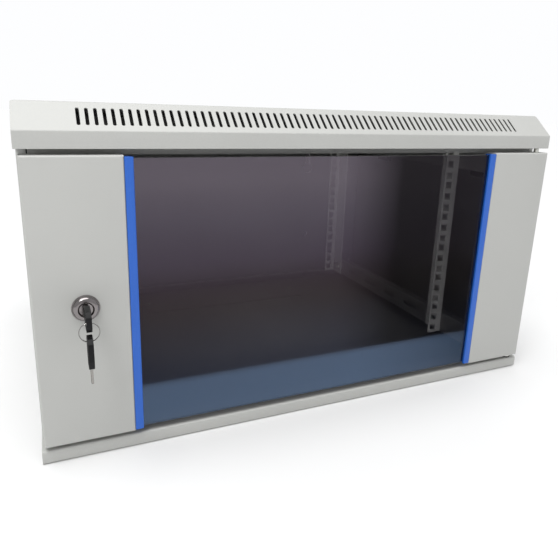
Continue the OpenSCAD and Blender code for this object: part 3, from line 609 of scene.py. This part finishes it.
def key_blade(node, placement):
    """The CAD blade with a groove milled along each side."""
    bm, cutter = cleaned(node), bmesh.new()
    length, thick = 16 * MM, 2 * MM
    for side in (-1, 1):
        for y, w in ((0.9 * MM, 1.5 * MM), (-1.3 * MM, 0.8 * MM)):
            box = Matrix.Diagonal((length + 4 * MM, w, 1.1 * MM, 1))
            shift = Matrix.Translation((-length / 2 - 2.5 * MM, y, side * thick / 2))
            bmesh.ops.create_cube(cutter, size=1, matrix=placement @ shift @ box)
    return soften(piece_from(cut(bm, cutter), node + "_cut", node), 0.12 * MM)


def split_ring():
    """Nearly two turns of wire side by side, with a step where one crosses to the other."""
    centre, half = middle("key_ring")
    radius, wire = half.x - half.y, half.y / 2
    points = []
    for degrees in range(20, 701, 5):
        t = min(1, max(0, (degrees - 340) / 40))
        y = wire * (2 * t * t * (3 - 2 * t) - 1)
        a = math.radians(degrees + 60)
        points.append(centre + Vector((radius * math.cos(a), y, radius * math.sin(a))))
    bm = bmesh.new()
    tube(bm, points, 0.97 * wire, 12)
    return piece_from(bm, "split_ring", "key_ring")


lock_body()
split_ring()
low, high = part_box("key_head")
thick, length, width = high.x - low.x, high.y - low.y, high.z - low.z
axes = Matrix(((0, 0, 1, 0), (-1, 0, 0, 0), (0, 1, 0, 0), (0, 0, 0, 1)))
placement = Matrix.Translation(((low.x + high.x) / 2, high.y, (low.z + high.z) / 2)) @ axes
key_head("key_head", placement, length, width, thick)
key_blade("key_blade", placement)
low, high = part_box("spare_key_head")
axes = Matrix(((0, 0, 1, 0), (0, -1, 0, 0), (1, 0, 0, 0), (0, 0, 0, 1)))
placement = Matrix.Translation(((low.x + high.x) / 2, (low.y + high.y) / 2, low.z)) @ axes
key_head("spare_key_head", placement, length, width, thick)
key_blade("spare_key_blade", placement)


# ---- Floor, light and camera ----

def floor():
    bm = bmesh.new()
    bmesh.ops.create_grid(bm, x_segments=8, y_segments=8, size=20)
    mesh = bpy.data.meshes.new("floor")
    bm.to_mesh(mesh)
    bm.free()
    mesh.materials.append(pale_floor())
    made = bpy.data.objects.new("floor", mesh)
    made.location.z = -0.3 * MM
    bpy.context.scene.collection.objects.link(made)


def aimed(name, data, position, aim):
    light = bpy.data.objects.new(name, data)
    light.location = position
    light.rotation_euler = (Vector(aim) - Vector(position)).to_track_quat("-Z", "Y").to_euler()
    light.visible_camera = False
    bpy.context.scene.collection.objects.link(light)


def area_light(name, position, aim, size, watts):
    data = bpy.data.lights.new(name, "AREA")
    data.shape, data.size, data.energy = "DISK", size, watts
    aimed(name, data, position, aim)


def overhead(position, strength, angle):
    """Broad, even light from above, the same all over the floor."""
    data = bpy.data.lights.new("overhead", "SUN")
    data.energy, data.angle = strength, math.radians(angle)
    aimed("overhead", data, position, (0, 0, 0))


def sky(colour, strength):
    """Even light of the given strength from all round, behind a white backdrop."""
    world = bpy.data.worlds.new("studio")
    world.use_nodes = True
    tree = world.node_tree
    background = tree.nodes["Background"]
    background.inputs["Color"].default_value = colour
    path = tree.nodes.new("ShaderNodeLightPath")
    level = tree.nodes.new("ShaderNodeMapRange")
    level.inputs["To Min"].default_value, level.inputs["To Max"].default_value = strength, 1.0
    tree.links.new(path.outputs["Is Camera Ray"], level.inputs["Value"])
    tree.links.new(level.outputs[0], background.inputs["Strength"])
    bpy.context.scene.world = world


def card(name, corners, build, **seen):
    """Glowing sheet that only the named kinds of ray meet; build gives its colour and strength."""
    bm = bmesh.new()
    bm.faces.new([bm.verts.new(c) for c in corners])
    mesh = bpy.data.meshes.new(name)
    bm.to_mesh(mesh)
    bm.free()
    made = bpy.data.objects.new(name, mesh)
    material = bpy.data.materials.new(name + "_glow")
    material.use_nodes = True
    tree = material.node_tree
    tree.nodes.clear()
    glow = tree.nodes.new("ShaderNodeEmission")
    out = tree.nodes.new("ShaderNodeOutputMaterial")
    tree.links.new(glow.outputs[0], out.inputs["Surface"])
    build(tree, glow)
    mesh.materials.append(material)
    bpy.context.scene.collection.objects.link(made)
    for kind in ("camera", "diffuse", "glossy", "transmission", "volume_scatter", "shadow"):
        setattr(made, "visible_" + kind, seen.get(kind, False))


def ranged(tree, value, low, high, to_low, to_high):
    node = tree.nodes.new("ShaderNodeMapRange")
    tree.links.new(value, node.inputs["Value"])
    limits = {"From Min": low, "From Max": high, "To Min": to_low, "To Max": to_high}
    for socket, number in limits.items():
        node.inputs[socket].default_value = number
    return node.outputs[0]


def calc(tree, operation, a, b):
    """The result of an operation on two values, each a number or a node's output."""
    node = tree.nodes.new("ShaderNodeMath")
    node.operation = operation
    for socket, value in zip(node.inputs, (a, b)):
        if isinstance(value, (int, float)):
            socket.default_value = value
        else:
            tree.links.new(value, socket)
    return node.outputs[0]


def surface_of(tree):
    return next(n for n in tree.nodes if n.type == "OUTPUT_MATERIAL").inputs["Surface"]


# Painted reflection of a room for the pane to mirror, on glowing cards: pale near the cabinet, dark
# beyond, dusky far off. Each stop is a distance in front of the door and a colour. The brightness
# fades from line to line of a fan on the floor, and a fade is given by the x at which its lines cross
# the door. The fan spreads from a point FAN_BACK behind the door and FAN_LEFT to the left of its middle.
CARD_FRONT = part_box("door_panel_left")[0].y - 1 * MM
CARD_REACH = 12
NEAR_END, FAR_END = 0.112, 18
NEAR_STOPS = [(0.0, (0.23, 0.36, 0.57)), (0.098, (0.23, 0.35, 0.56)), (NEAR_END, (0.14, 0.19, 0.29))]
FAR_STOPS = [(NEAR_END, (0.06, 0.07, 0.11)), (0.35, (0.10, 0.075, 0.08)), (0.60, (0.21, 0.17, 0.23)),
             (1.0, (0.29, 0.25, 0.32)), (1.8, (0.42, 0.365, 0.44)), (FAR_END, (0.42, 0.365, 0.44))]
REFLECTION_GLOW, DIM = 2.25, 0.12
FAN_BACK, FAN_LEFT = 0.49, 0.274
LEFT_FADE, NEAR_FADE, FAR_FADE = (-0.6, -0.2), (0.05, 0.30), (0.02, 0.09)


def colour_by_distance(tree, distance, stops):
    first, last = stops[0][0], stops[-1][0]
    ramp = tree.nodes.new("ShaderNodeValToRGB")
    tree.links.new(ranged(tree, distance, first, last, 0, 1), ramp.inputs[0])
    elements = ramp.color_ramp.elements
    while len(elements) < len(stops):
        elements.new(0.5)
    for element, (at, colour) in zip(elements, stops):
        element.position, element.color = (at - first) / (last - first), (*colour, 1)
    return ramp.outputs[0]


def painted_reflection_glow(stops, fade, least):
    """Painted reflection: glow that mirror rays alone meet; it dims across fade to the share least, and to
    DIM on the left.
    """
    def build(tree, glow):
        place = tree.nodes.new("ShaderNodeSeparateXYZ")
        tree.links.new(tree.nodes.new("ShaderNodeTexCoord").outputs["Object"], place.inputs[0])
        distance = calc(tree, "SUBTRACT", CARD_FRONT, place.outputs["Y"])
        tree.links.new(colour_by_distance(tree, distance, stops), glow.inputs["Color"])

        ratio = calc(tree, "DIVIDE", distance, FAN_BACK)
        shift = calc(tree, "SUBTRACT", place.outputs["X"], calc(tree, "MULTIPLY", ratio, FAN_LEFT))
        line = calc(tree, "DIVIDE", shift, calc(tree, "ADD", ratio, 1))
        right = ranged(tree, line, *fade, REFLECTION_GLOW, REFLECTION_GLOW * least)
        left = ranged(tree, line, *LEFT_FADE, DIM, 1)
        tree.links.new(calc(tree, "MULTIPLY", right, left), glow.inputs["Strength"])

        path = tree.nodes.new("ShaderNodeLightPath")
        mirrored = calc(tree, "MINIMUM", path.outputs["Is Singular Ray"], path.outputs["Glossy Depth"])
        clear = tree.nodes.new("ShaderNodeMixShader")
        tree.links.new(mirrored, clear.inputs[0])
        tree.links.new(tree.nodes.new("ShaderNodeBsdfTransparent").outputs[0], clear.inputs[1])
        tree.links.new(glow.outputs[0], clear.inputs[2])
        tree.links.new(clear.outputs[0], surface_of(tree))

    return build


def painted_reflection_card(name, stops, fade, least):
    """Card of painted reflection just above the floor, from the first distance in stops to the last."""
    first, last = stops[0][0], stops[-1][0]
    corners = ((-CARD_REACH, last), (CARD_REACH, last), (CARD_REACH, first), (-CARD_REACH, first))
    card(name, [(x, CARD_FRONT - y, 2 * MM) for x, y in corners], painted_reflection_glow(stops, fade, least),
         glossy=True, transmission=True)


def rail_lamp(position, aim, size, watts):
    """Lamp that lights the mounting rails alone, as if the pane were not there."""
    rails = bpy.data.collections.new("rails")
    for piece in list(bpy.data.objects):
        if piece.name.startswith("rail_"):
            rails.objects.link(piece)
    area_light("rail_lamp", position, aim, size, watts)
    linking = bpy.data.objects["rail_lamp"].light_linking
    linking.receiver_collection, linking.blocker_collection = rails, rails


def painted_shade_sheet(tree, glow):
    """Painted shade: a dark glow to look at from inside the cabinet, nothing at all from behind."""
    glow.inputs["Color"].default_value = (0.02, 0.018, 0.02, 1)
    both = tree.nodes.new("ShaderNodeMixShader")
    tree.links.new(tree.nodes.new("ShaderNodeNewGeometry").outputs["Backfacing"], both.inputs[0])
    tree.links.new(glow.outputs[0], both.inputs[1])
    tree.links.new(tree.nodes.new("ShaderNodeBsdfTransparent").outputs[0], both.inputs[2])
    tree.links.new(both.outputs[0], surface_of(tree))


def painted_shade_wall():
    """Sheet of painted shade just behind the back panel, so that the holes in it look dark through the
    pane.
    """
    left, right, foot, top = -0.29, 0.29, 0.01, 0.32
    corners = [(left, foot), (right, foot), (right, top), (left, top)]
    card("wall_behind", [(x, cad_high.y + 6 * MM, z) for x, z in corners], painted_shade_sheet,
         camera=True, transmission=True)


def camera(position, turn, lens, shift):
    """Camera at position, turned by Euler angles in degrees."""
    data = bpy.data.cameras.new("camera")
    data.sensor_width, data.lens = 36, lens
    data.shift_x, data.shift_y = shift
    data.clip_start = 0.01
    made = bpy.data.objects.new("camera", data)
    made.location = position
    made.rotation_euler = [math.radians(a) for a in turn]
    bpy.context.scene.collection.objects.link(made)
    bpy.context.scene.camera = made


floor()
sky(colour=(0.985, 0.99, 1.0, 1), strength=0.66)
overhead(position=(-0.16, -0.22, 1.6), strength=2.45, angle=50)
area_light("front_fill", position=(-0.75, -0.80, 1.15), aim=(-0.2, -0.22, 0.28), size=0.5, watts=4.5)
rail_lamp(position=(-0.05, -0.45, 0.05), aim=(0.22, -0.1, 0.12), size=0.08, watts=0.85)
# Glowing cards that only mirror rays meet: a painted reflection in the pane, the lock and the paint.
painted_reflection_card("near_floor", NEAR_STOPS, NEAR_FADE, least=0.15)
painted_reflection_card("dim_room", FAR_STOPS, FAR_FADE, least=DIM)
painted_shade_wall()
camera(position=(-0.2743, -0.7083, 0.3358), turn=(74.98, -1.75, -23.13), lens=34.18,
       shift=(0.0022, -0.0522))
bpy.context.scene.view_settings.view_transform = "Standard"
